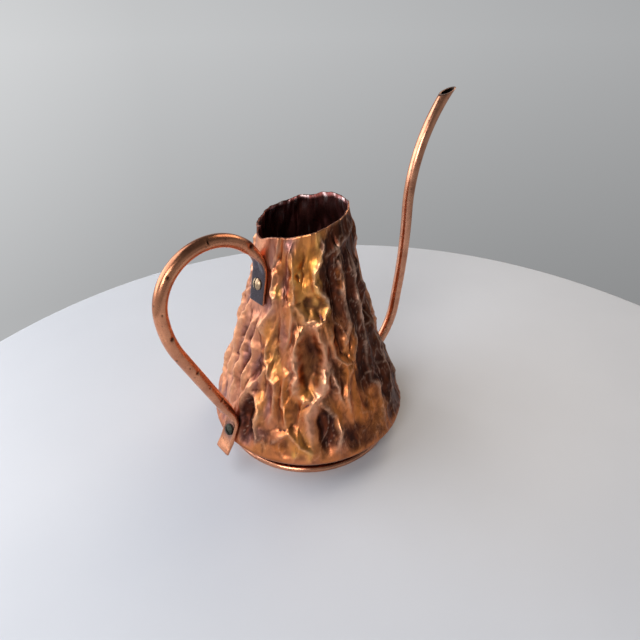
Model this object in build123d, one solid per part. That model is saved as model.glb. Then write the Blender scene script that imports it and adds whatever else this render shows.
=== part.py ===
from build123d import *
from math import cos, pi, radians, sin, sqrt, tan
import os

# Small copper watering can: a flared sheet body with a rolled belly on a wire foot ring, a long thin
# spout bent from tube, and a loop handle bent from the same tube with both ends squashed flat and
# screwed to the body.
#
# Millimetres, +Z up. The origin is on the resting plane under the centre of the foot ring.
# The spout is towards +X and the handle towards -X, both in the XZ plane.

# Sheet and tube stock
SHEET = 0.7
BASE_SHEET = 0.8
TUBE_OD = 6.35
TUBE_WALL = 0.8
TUBE_R = TUBE_OD / 2
BORE_R = TUBE_R - TUBE_WALL
TAB_THICK = 2 * TUBE_WALL
TAB_WIDTH = pi * TUBE_OD / 2

# Body: a tuck that rises outwards from the foot, a rolled belly, then one long concave flare
BELLY_R = 56.0
BELLY_Z = 15.3
BELLY_BEND = 7.0
TUCK_ANGLE = 45.0
FLARE_LEAN = 25.5
FLARE_R = 363.0
FLARE_SWEEP = 20.5
RIM_Z = 128.5
RIM_TILT = 11.5
RIM_HIGH_SIDE = -20.0

# Foot: round wire pressed flat above and below
WIRE_R = 1.85
WIRE_FLAT = 1.65
FOOT_TOP = 2 * WIRE_FLAT
FOOT_R = 47.7
SOLDER_LEG = 2.6

# Spout path: direction in degrees above +X, bends by radius and turn
SPOUT_ROOT = (51.6, 16.1)
SPOUT_ROOT_ANGLE = 24.0
SPOUT_ROOT_BEND = (40.0, 62.3)
SPOUT_RISE = 56.0
SPOUT_LEAN_BEND = (230.0, -9.0)
SPOUT_CROOK_BEND = (40.0, -37.0)
SPOUT_TIP = 20.0
SPOUT_CUT = (99.2, 170.3)
SPOUT_CUT_ANGLE = 16.0
SOLDER_COLLAR_R = 5.4
SOLDER_COLLAR_RISE = 7.0
SOLDER_COLLAR_AT = 0.04

# Handle path: the screws' heights, the tabs, the bends by radius and the straight run
UPPER_SCREW_Z = 100.5
LOWER_SCREW_Z = 20.5
UPPER_TAB_BELOW = 9.5
UPPER_TAB_ABOVE = 5.5
LOWER_TAB_BELOW = 13.0
LOWER_TAB_ABOVE = 3.4
TAB_GAP = 0.14
UPPER_ELBOW = (13.5, 40.5)
LOOP_R = 26.5
BACK_BEND = (58.0, 22.8)
FLATTEN_STATIONS = 6

# M3 screws with a domed slotted head, plain washers and nuts
SHANK_R = 1.45
HOLE_R = 1.6
HEAD_R = 3.0
HEAD_H = 1.9
HEAD_SHOULDER = 0.5
SLOT_WIDTH = 0.8
SLOT_DEPTH = 1.0
WASHER_R = 3.5
WASHER_THICK = 0.5
SEAL_THICK = 1.0
NUT_FLATS = 5.5
NUT_THICK = 2.4
NUT_BORE_R = 1.5
SCREW_PAST_NUT = 1.0
DISH_GAP = 0.28
FIT_GAP = 0.05


def heading(angle):
    """Unit direction in the XZ sketch plane, angle in degrees from +X towards +Z."""
    return (cos(radians(angle)), sin(radians(angle)))


def body_profile(inset):
    """Half section of the body's outside, inset towards the metal's inner face."""
    bend = BELLY_BEND - inset
    across, up = heading(-TUCK_ANGLE)
    centre = (BELLY_R - BELLY_BEND, BELLY_Z)
    start = (centre[0] + bend * across, centre[1] + bend * up)
    foot_r = start[0] - (start[1] - FOOT_TOP) * tan(radians(TUCK_ANGLE))
    tuck = Line((foot_r, FOOT_TOP), start)
    belly = JernArc(tuck @ 1, tuck % 1, bend, TUCK_ANGLE + FLARE_LEAN)
    flare = JernArc(belly @ 1, belly % 1, FLARE_R + inset, -FLARE_SWEEP)
    top = (flare @ 1).Y
    across_top = Polyline(flare @ 1, (0, top), (0, FOOT_TOP), (foot_r, FOOT_TOP))
    return Plane.XZ * make_face(tuck + belly + flare + across_top)


def revolved(profile):
    return revolve(profile, Axis.Z)


def ring(points):
    """Solid of revolution from a polygon of (radius, height) points."""
    return revolved(Plane.XZ * make_face(Polyline(*points, points[0])))


def wall(height):
    """Radius of the body's outer face at a height on the flare, and its lean from the vertical."""
    lean = FLARE_LEAN
    start_r = BELLY_R - BELLY_BEND + BELLY_BEND * cos(radians(lean))
    start_z = BELLY_Z + BELLY_BEND * sin(radians(lean))
    centre_r = start_r + FLARE_R * cos(radians(lean))
    centre_z = start_z + FLARE_R * sin(radians(lean))
    rise = centre_z - height
    here = sqrt(FLARE_R**2 - rise**2)
    return centre_r - here, rise / here


def seat(height):
    """Plane on the body's outer face on the handle side, its Z pointing out and its Y up the wall."""
    radius, slope = wall(height)
    out = Vector(-1, 0, slope).normalized()
    return Plane(origin=(-radius, 0, height), x_dir=(0, -1, 0), z_dir=out)


def rim_cutter():
    """Everything above the slanted rim."""
    low = heading(RIM_HIGH_SIDE)
    slope = sin(radians(RIM_TILT)) / cos(radians(RIM_TILT))
    normal = Vector(-slope * low[0], -slope * low[1], 1)
    size = 4 * BELLY_R
    above = Box(size, size, size, align=(Align.CENTER, Align.CENTER, Align.MIN))
    return Plane(origin=(0, 0, RIM_Z), z_dir=normal.normalized()) * above


def spout_path():
    root = JernArc(SPOUT_ROOT, heading(SPOUT_ROOT_ANGLE), *SPOUT_ROOT_BEND)
    rise = Line(root @ 1, root @ 1 + root % 1 * SPOUT_RISE)
    lean = JernArc(rise @ 1, rise % 1, *SPOUT_LEAN_BEND)
    crook = JernArc(lean @ 1, lean % 1, *SPOUT_CROOK_BEND)
    tip = Line(crook @ 1, crook @ 1 + crook % 1 * SPOUT_TIP)
    return Plane.XZ * Wire([root, rise, lean, crook, tip])


def swept(path, radius, start=0.0):
    """Round bar of that radius along a path."""
    section = Plane(origin=path @ start, z_dir=path % start) * Circle(radius)
    return sweep(section, path=path)


def make_spout():
    path = spout_path()
    tube = swept(path, TUBE_R) - swept(path, BORE_R)
    across, up = heading(SPOUT_CUT_ANGLE)
    cut_plane = Plane(origin=(SPOUT_CUT[0], 0, SPOUT_CUT[1]), z_dir=(-up, 0, across))
    above = Box(80, 40, 40, align=(Align.CENTER, Align.CENTER, Align.MIN))
    return tube - cut_plane * above


def spout_hole():
    """What the spout's root takes out of the body's wall."""
    root = Plane.XZ * Wire([JernArc(SPOUT_ROOT, heading(SPOUT_ROOT_ANGLE), *SPOUT_ROOT_BEND)])
    return swept(root, TUBE_R + FIT_GAP)


def make_spout_solder():
    """Fillet of solder round the spout where it leaves the body."""
    bend = Plane.XZ * Wire([JernArc(SPOUT_ROOT, heading(SPOUT_ROOT_ANGLE), *SPOUT_ROOT_BEND)])
    plane = Plane(origin=bend @ SOLDER_COLLAR_AT, z_dir=bend % SOLDER_COLLAR_AT)
    cone = Cone(SOLDER_COLLAR_R, TUBE_R, SOLDER_COLLAR_RISE, align=(Align.CENTER, Align.CENTER, Align.MIN))
    collar = plane * cone - revolved(body_profile(0)) - swept(bend, TUBE_R)
    return max(collar.solids(), key=lambda solid: solid.volume)


def handle_path():
    """The handle's centreline in four stretches: upper flattening, loop, back run, lower flattening."""
    upper_seat = seat(UPPER_SCREW_Z)
    lower_seat = seat(LOWER_SCREW_Z)
    lift = TAB_THICK / 2 + TAB_GAP

    def on_tab(plane, along):
        point = plane.from_local_coords(Vector(0, along, lift))
        return Vector(point.X, point.Z)

    tab_top = on_tab(upper_seat, UPPER_TAB_ABOVE)
    up = (tab_top - on_tab(upper_seat, 0)).normalized()
    elbow = JernArc(tab_top, up, *UPPER_ELBOW)
    turned = 90 - Vector(0, 1).get_angle(up) + UPPER_ELBOW[1]
    loop = JernArc(elbow @ 1, elbow % 1, LOOP_R, 270 - turned)
    back = JernArc(loop @ 1, loop % 1, *BACK_BEND)
    # the straight run meets the lower tab's line at the corner that the lower elbow rounds
    low_end = on_tab(lower_seat, LOWER_TAB_ABOVE)
    tab_up = (low_end - on_tab(lower_seat, 0)).normalized()
    run_dir = back % 1
    run_at = back @ 1
    gap = low_end - run_at
    cross = run_dir.X * tab_up.Y - run_dir.Y * tab_up.X
    along = (gap.X * tab_up.Y - gap.Y * tab_up.X) / cross
    corner = run_at + run_dir * along
    reach = (corner - low_end).length
    turn = 180 - run_dir.get_angle(tab_up)
    run = Line(run_at, corner - run_dir * reach)
    lower_elbow = JernArc(run @ 1, run % 1, reach / tan(radians(turn / 2)), -turn)
    return elbow, loop, back, run, lower_elbow


def flattening(curve, squash):
    """Loft along a curve between the round tube and the flat tab, squash(t) going from 0 to 1."""
    sections = []
    for i in range(FLATTEN_STATIONS):
        t = i / (FLATTEN_STATIONS - 1)
        s = squash(t)
        wide = TUBE_R + (TAB_WIDTH / 2 - TUBE_R) * s
        thick = TUBE_R + (TAB_THICK / 2 - TUBE_R) * s
        plane = Plane(origin=curve @ t, x_dir=(0, 1, 0), z_dir=curve % t)
        sections.append(plane * Ellipse(wide, thick))
    return loft(sections)


def tab(height, below, above):
    """Flat end of the handle on the body, with its screw hole."""
    plate = Box(TAB_WIDTH, below + above, TAB_THICK, align=(Align.CENTER, Align.MIN, Align.MIN))
    plate = fillet(plate.edges().filter_by(Axis.Y), TAB_THICK * 0.45)
    hole = Cylinder(HOLE_R, 4 * TAB_THICK)
    return seat(height) * (Pos(0, -below, TAB_GAP) * plate - hole)


def make_handle():
    elbow, loop, back, run, lower_elbow = handle_path()
    upper = Plane.XZ * Wire([elbow])
    lower = Plane.XZ * Wire([lower_elbow])
    middle = Plane.XZ * Wire([loop, back, run])
    tube = swept(middle, TUBE_R) - swept(middle, BORE_R)
    ends = [
        flattening(upper, lambda t: 1 - t**2),
        flattening(lower, lambda t: 1 - (1 - t) ** 2),
        tab(UPPER_SCREW_Z, UPPER_TAB_BELOW, UPPER_TAB_ABOVE),
        tab(LOWER_SCREW_Z, LOWER_TAB_BELOW, LOWER_TAB_ABOVE),
    ]
    handle = tube
    for end in ends:
        handle = handle + end
    return handle


def make_body():
    shell = revolved(body_profile(0)) - revolved(body_profile(SHEET))
    shell = shell - rim_cutter()
    for height in (UPPER_SCREW_Z, LOWER_SCREW_Z):
        shell = shell - seat(height) * Cylinder(HOLE_R, 6 * SHEET)
    return shell - spout_hole()


def foot_section(radius):
    """Round wire section with its top and bottom pressed flat."""
    disc = Pos(radius, WIRE_FLAT) * Circle(WIRE_R)
    band = Pos(radius, WIRE_FLAT) * Rectangle(4 * WIRE_R, FOOT_TOP)
    return Plane.XZ * (disc & band)


def body_lip(inset):
    """Radius of the tuck's lower end, for the outer face or inset to the inner face."""
    bend = BELLY_BEND - inset
    across, up = heading(-TUCK_ANGLE)
    start_r = BELLY_R - BELLY_BEND + bend * across
    start_z = BELLY_Z + bend * up
    return start_r - (start_z - FOOT_TOP) * tan(radians(TUCK_ANGLE))


def make_base():
    radius = body_lip(SHEET) - FIT_GAP
    return Pos(0, 0, FOOT_TOP + BASE_SHEET / 2) * Cylinder(radius, BASE_SHEET)


def make_base_solder():
    """Bead inside the can between the base disc and the tuck."""
    disc_r = body_lip(SHEET) - FIT_GAP
    top = FOOT_TOP + BASE_SHEET
    wall_r = body_lip(SHEET)
    rise = BASE_SHEET + SOLDER_LEG / 2
    return ring(
        [
            (disc_r, FOOT_TOP),
            (wall_r, FOOT_TOP),
            (wall_r + rise, FOOT_TOP + rise),
            (disc_r - SOLDER_LEG / 2, top),
            (disc_r, top),
        ]
    )


def make_foot_solder():
    """Bead under the can between the base disc and the inside of the foot ring."""
    inner = FOOT_R - WIRE_R
    bead = ring([(inner - SOLDER_LEG / 2, FOOT_TOP), (FOOT_R - 0.8, FOOT_TOP), (inner + 0.1, WIRE_FLAT + 0.4)])
    return bead - revolved(foot_section(FOOT_R))


def make_screw(height, seal, slot_turn):
    """Domed slotted screw through tab and wall, its head on the tab."""
    stack = SHEET + DISH_GAP + seal + WASHER_THICK + NUT_THICK + SCREW_PAST_NUT
    top = TAB_GAP + TAB_THICK
    dome_r = (HEAD_R**2 + (HEAD_H - HEAD_SHOULDER) ** 2) / (2 * (HEAD_H - HEAD_SHOULDER))
    dome = Pos(0, 0, top + HEAD_H - dome_r) * Sphere(dome_r)
    head = Pos(0, 0, top + HEAD_H / 2) * Cylinder(HEAD_R, HEAD_H) & dome
    slot = Pos(0, 0, top + HEAD_H) * Rot(0, 0, slot_turn) * Box(SLOT_WIDTH, 3 * HEAD_R, 2 * SLOT_DEPTH)
    shank = Pos(0, 0, (top - stack) / 2) * Cylinder(SHANK_R, top + stack)
    return seat(height) * (head - slot + shank)


def make_washer(height, offset, thick):
    """Flat ring inside the wall, its outer face at a distance in from the body's outer face."""
    ring_2d = Cylinder(WASHER_R, thick) - Cylinder(HOLE_R, thick)
    return seat(height) * (Pos(0, 0, -offset - thick / 2) * ring_2d)


def make_nut(height, offset):
    hexagon = extrude(RegularPolygon(NUT_FLATS / 2, 6, major_radius=False), NUT_THICK)
    bored = hexagon - Pos(0, 0, NUT_THICK / 2) * Cylinder(NUT_BORE_R, 2 * NUT_THICK)
    return seat(height) * (Pos(0, 0, -offset - NUT_THICK) * bored)


def fastener(prefix, height, seal, slot_turn):
    """The screw, washers and nut at one end of the handle, by node name."""
    inside = SHEET + DISH_GAP
    parts = {prefix + "_screw": make_screw(height, seal, slot_turn)}
    if seal:
        parts[prefix + "_seal_washer"] = make_washer(height, inside, seal)
    parts[prefix + "_washer"] = make_washer(height, inside + seal, WASHER_THICK)
    parts[prefix + "_nut"] = make_nut(height, inside + seal + WASHER_THICK)
    return parts


def all_parts():
    parts = {
        "body_shell": make_body(),
        "base_disc": make_base(),
        "base_solder": make_base_solder(),
        "foot_ring": revolved(foot_section(FOOT_R)),
        "foot_solder": make_foot_solder(),
        "spout_tube": make_spout(),
        "spout_solder": make_spout_solder(),
        "handle_tube": make_handle(),
    }
    parts.update(fastener("upper", UPPER_SCREW_Z, 0, 8))
    parts.update(fastener("lower", LOWER_SCREW_Z, SEAL_THICK, 62))
    return parts


os.makedirs("parts", exist_ok=True)
for name, shape in all_parts().items():
    export_step(shape, os.path.join("parts", name + ".step"))
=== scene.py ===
import math

import bpy
import numpy as np
from mathutils import Matrix, Vector, noise


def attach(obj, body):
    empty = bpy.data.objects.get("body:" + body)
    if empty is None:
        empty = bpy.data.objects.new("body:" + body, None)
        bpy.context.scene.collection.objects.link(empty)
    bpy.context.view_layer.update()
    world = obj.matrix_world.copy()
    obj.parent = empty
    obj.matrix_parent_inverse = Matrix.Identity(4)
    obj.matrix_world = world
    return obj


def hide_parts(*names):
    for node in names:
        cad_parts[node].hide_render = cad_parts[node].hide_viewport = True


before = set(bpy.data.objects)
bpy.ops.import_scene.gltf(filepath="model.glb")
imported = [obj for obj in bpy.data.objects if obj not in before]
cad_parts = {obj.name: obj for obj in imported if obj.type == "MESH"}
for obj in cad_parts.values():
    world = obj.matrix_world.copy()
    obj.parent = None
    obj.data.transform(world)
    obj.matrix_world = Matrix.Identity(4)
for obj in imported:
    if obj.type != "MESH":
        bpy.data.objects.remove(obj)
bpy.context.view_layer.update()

# Lengths are in millimetres until a mesh is made, and angles in degrees counter-clockwise from +X.
MM = 0.001
rng = np.random.default_rng(7)

# Camera
CAMERA_AT = (-139.3, -171.9, 212.5)
CAMERA_AZIMUTH = -41.0
CAMERA_DOWN = 33.35
CAMERA_ROLL = -0.77
LENS = 27.0
SENSOR = 36.0

# Body: tuck, rolled belly and concave flare, as the CAD shell has them
SHEET = 0.7
FOOT_TOP = 3.3
BELLY_R = 56.0
BELLY_Z = 15.3
BELLY_BEND = 7.0
TUCK_ANGLE = 45.0
FLARE_LEAN = 25.5
FLARE_R = 363.0
RIM_Z = 128.5
RIM_RISE = 4.7
RIM_HIGH_SIDE = 340.0
COLUMNS = 512
LOW_ROWS = 22
HIGH_ROWS = 130
ROWS_MEET = 22.0
INNER_STEP = 4
CAVITY_PASSES = 16

# Tube of the handle and the spout
TUBE_R = 3.175
TUBE_WALL = 0.8
TUBE_TURNS = 64
TUBE_ANGLES = 360.0 * np.arange(TUBE_TURNS) / TUBE_TURNS

# Handle: a loop of tube with its ends squashed to tabs, as the CAD handle has it
TAB_HALF_WIDTH = 4.99
TAB_HALF_THICK = 0.8
TAB_SPREAD = 0.45
TAB_GAP = 0.14
HANDLE_STEP = 0.45
UPPER_SCREW_Z = 100.5
LOWER_SCREW_Z = 20.5
UPPER_TAB_BELOW = 9.5
UPPER_TAB_ABOVE = 5.5
LOWER_TAB_BELOW = 13.0
LOWER_TAB_ABOVE = 3.4
SLOT_HALF_WIDTH = 0.42
UPPER_SLOT_TURN = 8.0
# at each end, the lengths that are flat and over which the tube gets round, and the rolled lower tip
UPPER_FLAT = UPPER_TAB_BELOW + UPPER_TAB_ABOVE - 3.0
LOWER_FLAT = LOWER_TAB_BELOW + LOWER_TAB_ABOVE - 1.0
UPPER_EASE = 21.0
LOWER_EASE = 15.0
LOWER_CURL = 7.5
# the loop's arcs as (radius, turn); between them an arc of LOOP_R turns on until it runs straight down
UPPER_BEND = (13.5, 40.5)
LOOP_R = 26.5
LOWER_BEND = (58.0, 22.8)

# Spout: the tube from the wall up, in arcs as (radius, turn) and lines as (0, length), and its slanting cut
SPOUT_ROOT = (51.6, 16.1)
SPOUT_ROOT_ANGLE = 24.0
SPOUT_STEP = 0.8
SPOUT_BENDS = [(40.0, 57.6), (0, 15.5), (260.75, 10.5), (80.3, -53.0)]
SPOUT_CUT = (105.5, 171.7)
SPOUT_CUT_ANGLE = 14.0
SPOUT_CUT_REACH = 18.0


def cos(angle):
    return np.cos(np.radians(angle))


def sin(angle):
    return np.sin(np.radians(angle))


def smooth(low, high, value):
    """0 below low, 1 above high, and a smooth step between."""
    t = np.clip((value - low) / (high - low), 0, 1)
    return t * t * (3 - 2 * t)


def grain(points, size, seed=0.0):
    """Noise from about -1 to 1 at (N, 3) points, with a grain of that size (one number or three)."""
    scaled = points / np.asarray(size) + seed
    return np.array([noise.noise(p) for p in scaled.tolist()]) * 1.6


def angle_from(theta, centre):
    """Signed difference of angles, from -180 to 180."""
    return (theta - centre + 180) % 360 - 180


def round_wall(theta, centre, radius):
    """Signed distance round a wall of that radius from the centre's angle."""
    return np.radians(angle_from(theta, centre)) * radius


def sector(theta, middle, full, end):
    """1 within full degrees of the middle, 0 past end degrees from it, and smooth between."""
    return 1 - smooth(full, end, np.abs(angle_from(theta, middle)))


def path_lengths(path):
    """Length along a path of points, up to each of them."""
    return np.concatenate([[0], np.cumsum(np.linalg.norm(np.diff(path, axis=0), axis=1))])


def mesh_object(name, points, faces, material):
    mesh = bpy.data.meshes.new(name)
    mesh.from_pydata([tuple(p) for p in points.tolist()], [], faces)
    mesh.materials.append(material)
    mesh.polygons.foreach_set("use_smooth", [True] * len(mesh.polygons))
    mesh.update()
    piece = bpy.data.objects.new(name, mesh)
    bpy.context.scene.collection.objects.link(piece)
    return piece


def put_attribute(piece, name, values):
    layer = piece.data.attributes.new(name, "FLOAT", "POINT")
    layer.data.foreach_set("value", np.asarray(values, np.float32))


def put_color(piece, name, rgb):
    layer = piece.data.color_attributes.new(name, "FLOAT_COLOR", "POINT")
    rgba = np.hstack([rgb, np.ones((len(rgb), 1))])
    layer.data.foreach_set("color", rgba.astype(np.float32).ravel())


def tube_faces(rings, first=0, inward=False):
    """Quads of a tube's wall between rings of points, from index first on."""
    faces = []
    for ring in range(rings - 1):
        for j in range(TUBE_TURNS):
            a = first + ring * TUBE_TURNS + j
            b = first + ring * TUBE_TURNS + (j + 1) % TUBE_TURNS
            c = b + TUBE_TURNS
            d = a + TUBE_TURNS
            faces.append((a, d, c, b) if inward else (a, b, c, d))
    return faces


# ------ nodes


def as_color(value):
    """A colour, from a colour or a grey level."""
    return value if isinstance(value, tuple) else (value, value, value)


class Nodes:
    """Short calls that add nodes to a tree and return their output."""

    def __init__(self, tree):
        self.tree = tree
        self.coords = tree.nodes.new("ShaderNodeTexCoord")

    def link(self, source, target):
        self.tree.links.new(source, target)

    def feed(self, socket, value):
        """Links an output to a socket, or sets the socket to a number, a grey level or a colour."""
        if isinstance(value, bpy.types.NodeSocket):
            self.link(value, socket)
        elif socket.type == "RGBA":
            socket.default_value = (*as_color(value), 1)
        else:
            socket.default_value = value

    def math(self, operation, *values):
        node = self.tree.nodes.new("ShaderNodeMath")
        node.operation = operation
        for socket, value in zip(node.inputs, values):
            self.feed(socket, value)
        return node.outputs[0]

    def dot(self, vector, direction):
        node = self.tree.nodes.new("ShaderNodeVectorMath")
        node.operation = "DOT_PRODUCT"
        node.inputs[1].default_value = direction
        self.link(vector, node.inputs[0])
        return node.outputs["Value"]

    def mix(self, a, b, factor, blend="MIX"):
        node = self.tree.nodes.new("ShaderNodeMix")
        node.data_type = "RGBA"
        node.blend_type = blend
        for socket, value in ((0, factor), (6, a), (7, b)):
            self.feed(node.inputs[socket], value)
        return node.outputs[2]

    def ramp(self, source, stops):
        """Colour ramp; stops are (position, grey level or colour)."""
        node = self.tree.nodes.new("ShaderNodeValToRGB")
        elements = node.color_ramp.elements
        while len(elements) < len(stops):
            elements.new(0.5)
        for element, (position, value) in zip(elements, stops):
            element.position = position
            element.color = (*as_color(value), 1)
        self.link(source, node.inputs[0])
        return node.outputs[0]


class Shader(Nodes):
    """A principled metal, or another material where metallic is 0."""

    def __init__(self, name, metallic=1.0, roughness=0.35):
        self.material = bpy.data.materials.new(name)
        self.material.use_nodes = True
        super().__init__(self.material.node_tree)
        self.bsdf = self.tree.nodes["Principled BSDF"]
        self.bsdf.inputs["Metallic"].default_value = metallic
        self.bsdf.inputs["Roughness"].default_value = roughness

    def set(self, socket, source):
        self.link(source, self.bsdf.inputs[socket])

    def stretched(self, scale):
        """Object coordinates in millimetres, times scale on each axis."""
        node = self.tree.nodes.new("ShaderNodeMapping")
        node.inputs["Scale"].default_value = [s / MM for s in scale]
        self.link(self.coords.outputs["Object"], node.inputs["Vector"])
        return node.outputs[0]

    def noise(self, size, detail=3.0, rough=0.55, stretch=(1, 1, 1), distortion=0.0):
        """Noise with a grain of that many millimetres, longer on the axes where stretch is over 1."""
        node = self.tree.nodes.new("ShaderNodeTexNoise")
        node.inputs["Scale"].default_value = 1.0
        node.inputs["Detail"].default_value = detail
        node.inputs["Roughness"].default_value = rough
        node.inputs["Distortion"].default_value = distortion
        self.link(self.stretched([1 / (size * s) for s in stretch]), node.inputs["Vector"])
        return node.outputs["Fac"]

    def spots(self, size):
        node = self.tree.nodes.new("ShaderNodeTexVoronoi")
        node.inputs["Scale"].default_value = 1.0
        self.link(self.stretched([1 / size] * 3), node.inputs["Vector"])
        return node.outputs["Distance"]

    def attribute(self, name, output="Fac"):
        node = self.tree.nodes.new("ShaderNodeAttribute")
        node.attribute_name = name
        return node.outputs[output]

    def bump(self, *layers):
        """Bump from (height, depth in millimetres) layers, one on top of another."""
        normal = None
        for height, depth in layers:
            node = self.tree.nodes.new("ShaderNodeBump")
            node.inputs["Distance"].default_value = depth * MM
            node.inputs["Strength"].default_value = 1.0
            self.link(height, node.inputs["Height"])
            if normal is not None:
                self.link(normal, node.inputs["Normal"])
            normal = node.outputs[0]
        self.set("Normal", normal)


# ------ camera, floor and light


def look(azimuth, down, roll):
    """Rotation of a camera that looks horizontally towards azimuth, tipped down and rolled."""
    a = math.radians(azimuth)
    e = math.radians(down)
    back = Vector((math.sin(a) * math.cos(e), -math.cos(a) * math.cos(e), math.sin(e)))
    right = Vector((math.cos(a), math.sin(a), 0))
    up = back.cross(right)
    basis = Matrix((right, up, back)).transposed()
    return basis @ Matrix.Rotation(math.radians(roll), 3, "Z")


def make_camera():
    data = bpy.data.cameras.new("camera")
    data.lens = LENS
    data.sensor_width = SENSOR
    data.clip_start = 0.01
    camera = bpy.data.objects.new("camera", data)
    rotation = look(CAMERA_AZIMUTH, CAMERA_DOWN, CAMERA_ROLL)
    camera.matrix_world = Matrix.Translation(Vector(CAMERA_AT) * MM) @ rotation.to_4x4()
    bpy.context.scene.collection.objects.link(camera)
    bpy.context.scene.camera = camera


def area_light(name, at, size, power, color):
    data = bpy.data.lights.new(name, "AREA")
    data.shape = "RECTANGLE"
    data.size, data.size_y = size
    data.energy = power
    data.color = color
    light = bpy.data.objects.new(name, data)
    light.location = at
    target = Vector((0, 0, 0.07))
    light.rotation_euler = (target - Vector(at)).to_track_quat("-Z", "Y").to_euler()
    bpy.context.scene.collection.objects.link(light)


def seen_from_camera(right, away, up):
    """A place in metres given to the right of, away from and above the can, as the camera sees it."""
    a = math.radians(CAMERA_AZIMUTH)
    return right * math.cos(a) - away * math.sin(a), right * math.sin(a) + away * math.cos(a), up


def make_light():
    area_light("window", seen_from_camera(-0.80, 0.10, 0.60), (1.1, 1.1), 10.0, (0.98, 0.98, 1.0))
    area_light("front_fill", seen_from_camera(-0.35, -0.80, 0.60), (0.4, 0.4), 4.7, (1.0, 0.95, 0.91))
    area_light("back_right", seen_from_camera(0.50, 0.60, 0.75), (0.6, 0.6), 3.9, (1.0, 0.81, 0.60))
    world = bpy.data.worlds.new("studio")
    world.use_nodes = True
    bpy.context.scene.world = world
    sky = Nodes(world.node_tree)

    def shade(direction, stops):
        """Grey levels by how far a direction of view points one way, from -1 to 1."""
        share = sky.math("MULTIPLY_ADD", sky.dot(sky.coords.outputs["Generated"], direction), 0.5, 0.5)
        levels = [((at + 1) / 2, (level * 0.995, level, level * 1.005)) for at, level in stops]
        return sky.ramp(share, levels)

    height = shade((0, 0, 1), [(-0.45, 0.66), (-0.05, 0.98), (0.20, 0.90), (0.45, 0.42), (0.85, 0.24)])
    side = shade(seen_from_camera(-1, 0, 0), [(-0.9, 0.34), (-0.3, 0.46), (0.3, 0.58), (0.9, 0.85)])
    front = shade(seen_from_camera(0, -1, 0), [(-0.4, 1.0), (0.1, 0.97), (0.6, 0.80), (0.95, 0.72)])
    surroundings = sky.mix(sky.mix(height, side, 1.0, "MULTIPLY"), front, 1.0, "MULTIPLY")
    sky.link(surroundings, world.node_tree.nodes["Background"].inputs["Color"])
    bpy.context.scene.view_settings.view_transform = "Standard"


# ------ node materials


def body_material():
    """Flame-coloured, crumpled copper: bright worn crests, dark cavities, brown and violet patina, and the
    painted highlight, reflection and shade laid into the crests' mask, the tint and the patina.
    """
    s = Shader("crumpled_copper", roughness=0.35)
    tint = s.attribute("tint", "Color")
    patina_and_shade = s.attribute("patina_and_shade")
    mottle = s.noise(4.0, detail=5, stretch=(1, 1, 2.2), distortion=0.6)
    brown = s.mix(tint, (0.30, 0.095, 0.055), 0.75)
    color = s.mix(tint, brown, s.ramp(mottle, [(0.47, 0.0), (0.78, 0.75)]))
    color = s.mix(color, (0.115, 0.034, 0.018), s.math("MULTIPLY", s.attribute("cavity"), 0.80))
    cloud = s.noise(5.0, detail=6, rough=0.68, stretch=(1, 1, 1.9), distortion=1.2)
    # the patina mask carries painted shade too, so this dark cover falls on it as well
    cover = s.math("ADD", cloud, s.math("MULTIPLY", patina_and_shade, 0.60))
    stain_and_shade = s.ramp(cover, [(0.60, 0.0), (0.80, 0.55), (1.0, 0.95)])
    dark_tone = s.mix((0.115, 0.030, 0.015), (0.034, 0.014, 0.013), s.ramp(mottle, [(0.35, 0.0), (0.62, 1.0)]))
    color = s.mix(color, dark_tone, stain_and_shade)
    rubbed = s.ramp(s.noise(2.6, detail=3), [(0.30, 0.30), (0.62, 1.0)])
    # the crests' mask also brings a painted highlight on the rim's front edge
    worn = s.math("MULTIPLY", s.attribute("crest"), rubbed)
    bright = s.mix(tint, (0.94, 0.54, 0.33), 0.58)
    dulled = s.math("MULTIPLY", s.math("MULTIPLY", stain_and_shade, patina_and_shade), 0.6)
    color = s.mix(color, s.mix(bright, (0.60, 0.45, 0.38), dulled), worn)
    s.set("Base Color", color)
    fine = s.noise(0.8, detail=4, rough=0.6)
    rough = s.mix(s.ramp(fine, [(0.3, 0.32), (0.75, 0.44)]), 0.48, stain_and_shade)
    rough = s.mix(rough, 0.34, worn)
    s.set("Roughness", s.mix(rough, 0.50, s.math("MULTIPLY", s.attribute("satin"), 0.8)))
    s.bump((s.noise(3.4, detail=3, rough=0.45, stretch=(1, 1, 1.6)), 0.18), (fine, 0.02))
    return s.material


def tube_material(name, base, dark, stretch, marks=()):
    """Drawn copper tube, satin, with long faint streaks, tarnish clouds and small dark specks.

    Marks are (attribute that masks it, tone), laid over the copper one after another.
    """
    s = Shader(name, roughness=0.3)
    cloud = s.noise(9.0, detail=4, rough=0.6)
    color = s.mix(base, dark, s.ramp(cloud, [(0.38, 0.0), (0.76, 0.80)]))
    streaks = s.noise(0.7, detail=3, stretch=stretch)
    color = s.mix(color, (0.86, 0.46, 0.28), s.ramp(streaks, [(0.54, 0.0), (0.82, 0.22)]))
    specks = s.ramp(s.spots(5.0), [(0.06, 1.0), (0.13, 0.0)])
    color = s.mix(color, (0.11, 0.06, 0.05), s.math("MULTIPLY", specks, 0.6))
    for attribute, tone in marks:
        color = s.mix(color, tone, s.attribute(attribute))
    s.set("Base Color", color)
    s.set("Roughness", s.ramp(s.noise(4.0, detail=2), [(0.3, 0.20), (0.75, 0.32)]))
    s.bump((streaks, 0.004), (s.noise(5.0, detail=2), 0.05))
    return s.material


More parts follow.
